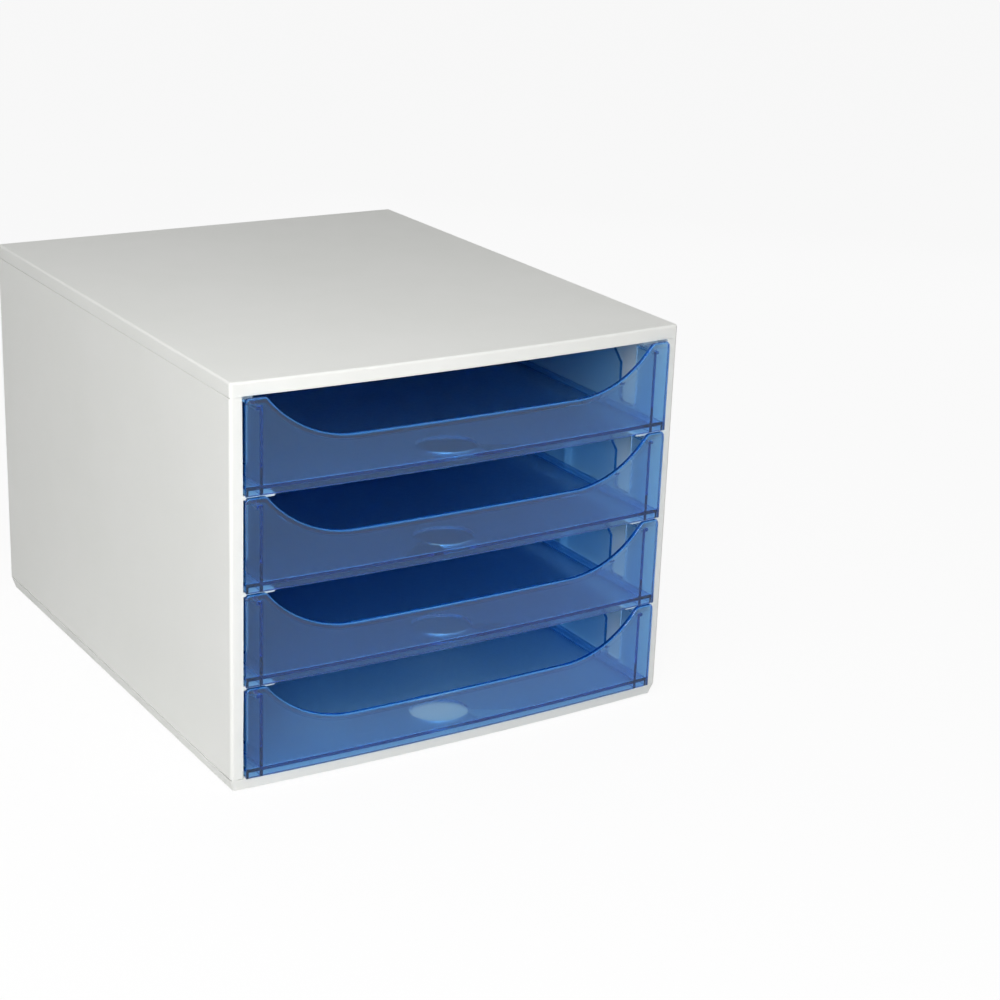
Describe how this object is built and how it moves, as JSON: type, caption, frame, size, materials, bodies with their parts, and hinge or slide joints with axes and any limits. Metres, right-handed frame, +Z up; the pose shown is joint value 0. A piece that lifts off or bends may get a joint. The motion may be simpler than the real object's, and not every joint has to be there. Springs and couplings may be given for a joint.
{
  "type": "file box with drawers",
  "caption": "Desktop file box: closed white housing on small feet, with stacked translucent drawers whose scooped, bowed fronts slide out on side rails.",
  "frame": {"origin": "middle of the overall footprint, on the surface that the feet stand on", "axes": "+Z up, -Y the way the drawers open, +X to the right seen from the back (to the viewer's right when facing the drawers)"},
  "size_m": [0.284, 0.348, 0.234],
  "materials": {
    "housing": "smooth moulded, satin",
    "drawer": "clear blue, polished edges, frosted front",
    "foot": "matt"
  },
  "bodies": {
    "housing": {"top_cover": "housing", "base_tray": "housing", "left_side_panel": "housing", "right_side_panel": "housing", "back_panel": "housing", "foot_front_left": "foot", "foot_front_right": "foot", "foot_rear_left": "foot", "foot_rear_right": "foot"},
    "drawer_1": {"drawer_1": "drawer"},
    "drawer_2": {"drawer_2": "drawer"},
    "drawer_3": {"drawer_3": "drawer"},
    "drawer_4": {"drawer_4": "drawer"}
  },
  "joints": [
    {"name": "drawer_1_slide", "type": "slide", "parent": "housing", "child": "drawer_1", "axis": [0, -1, 0], "range_m": [0, 0.25]},
    {"name": "drawer_2_slide", "type": "slide", "parent": "housing", "child": "drawer_2", "axis": [0, -1, 0], "range_m": [0, 0.25]},
    {"name": "drawer_3_slide", "type": "slide", "parent": "housing", "child": "drawer_3", "axis": [0, -1, 0], "range_m": [0, 0.25]},
    {"name": "drawer_4_slide", "type": "slide", "parent": "housing", "child": "drawer_4", "axis": [0, -1, 0], "range_m": [0, 0.25]}
  ]
}
